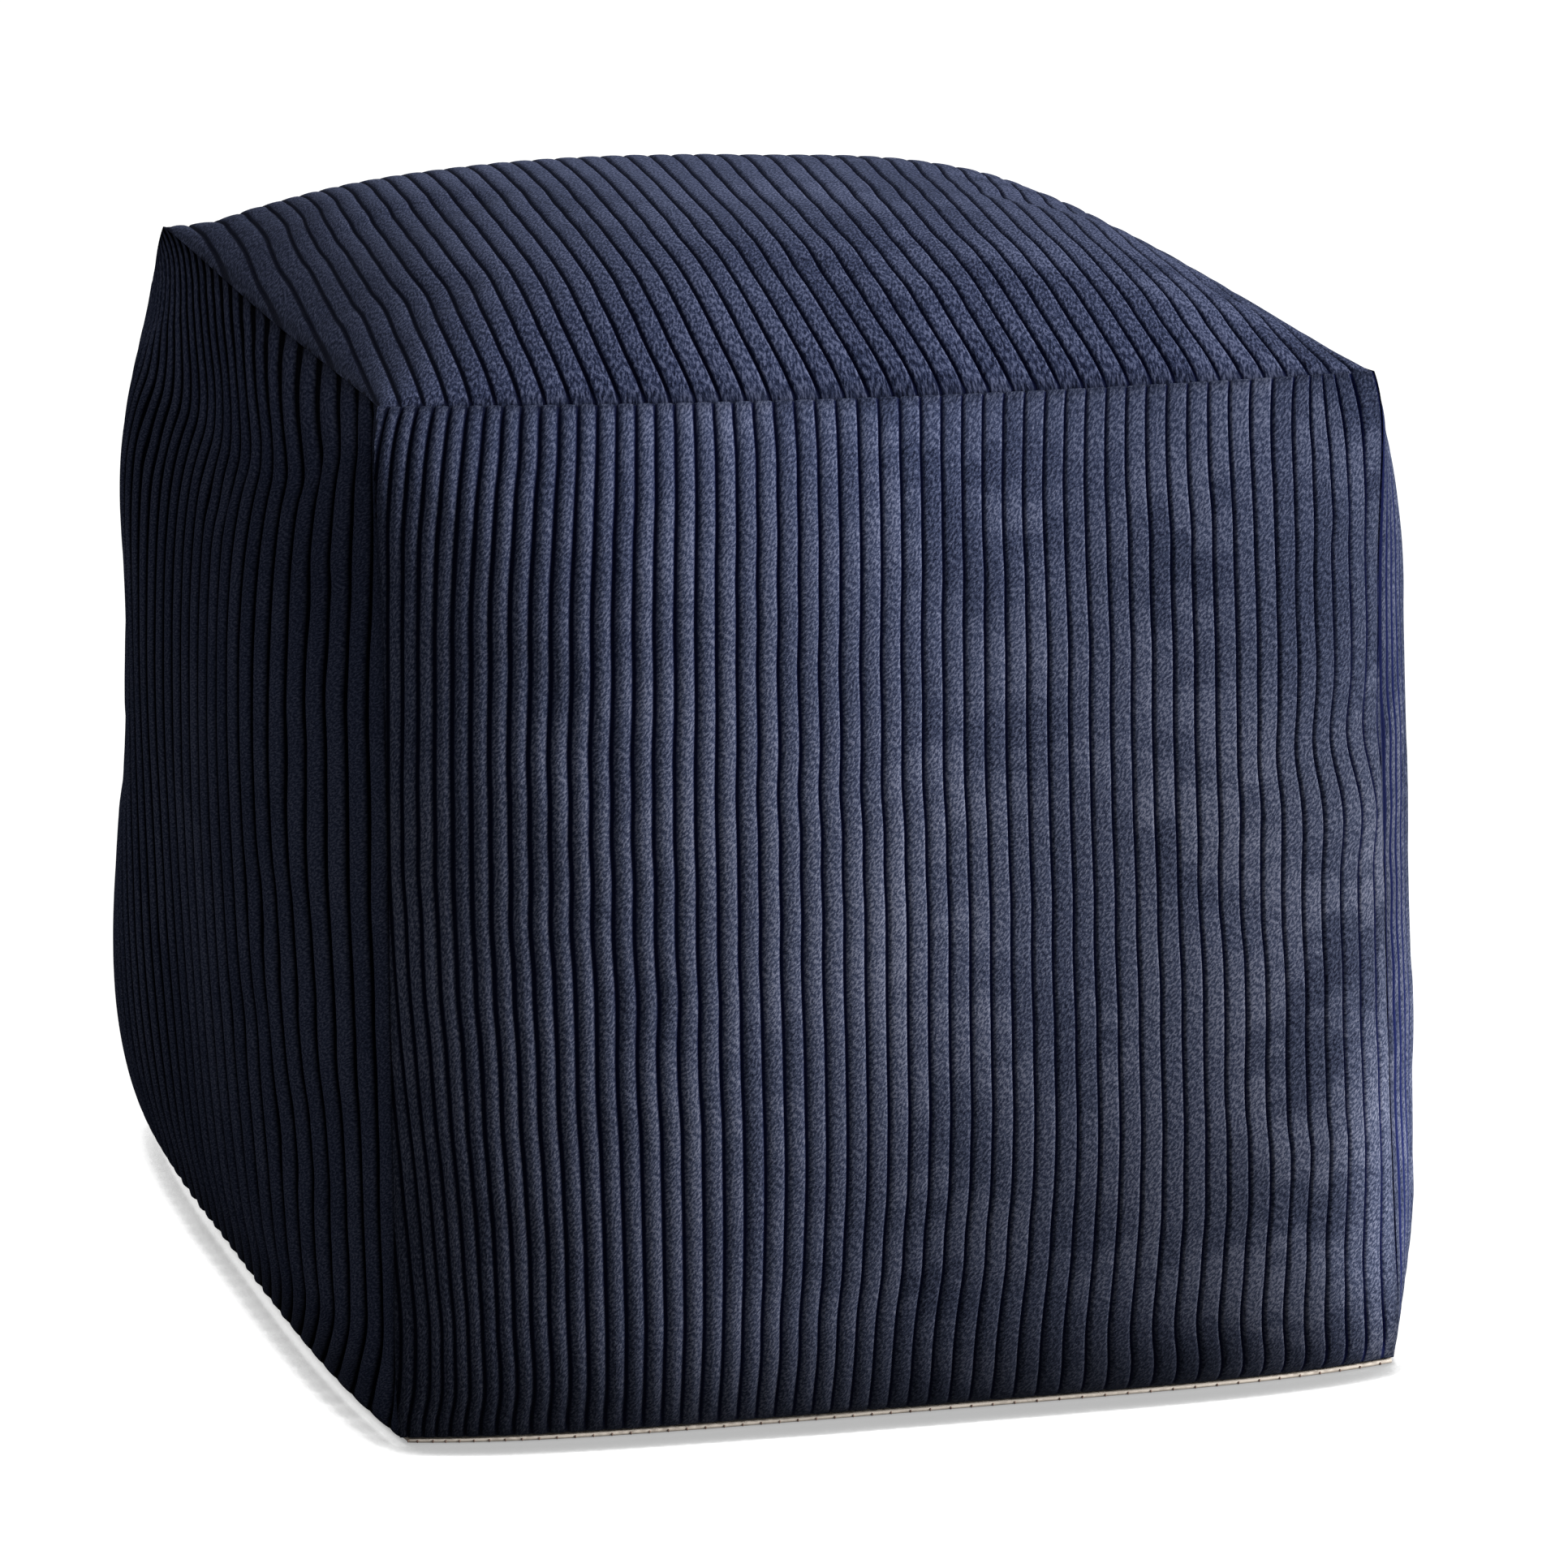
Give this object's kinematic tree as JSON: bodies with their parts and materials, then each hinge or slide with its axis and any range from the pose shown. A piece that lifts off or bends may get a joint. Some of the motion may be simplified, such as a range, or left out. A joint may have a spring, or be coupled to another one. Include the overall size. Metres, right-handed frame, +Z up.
{
  "type": "corduroy cube bean bag",
  "caption": "Soft square bean bag pouf in wide-wale navy corduroy, with a crowned top, bulging drawn-in sides and a flat undyed base.",
  "frame": {"origin": "middle of the footprint, on the surface that the bag stands on", "axes": "+Z up, +X to the right seen from the front, the front faces -Y"},
  "size_m": [0.4881, 0.4919, 0.4457],
  "materials": {
    "corduroy": "navy wide-wale cotton corduroy with a crushed, mottled pile",
    "base_cloth": "plain undyed woven base cloth, matt"
  },
  "bodies": {
    "root": {"filled_bag": "corduroy", "base_panel": "base_cloth"}
  },
  "joints": []
}
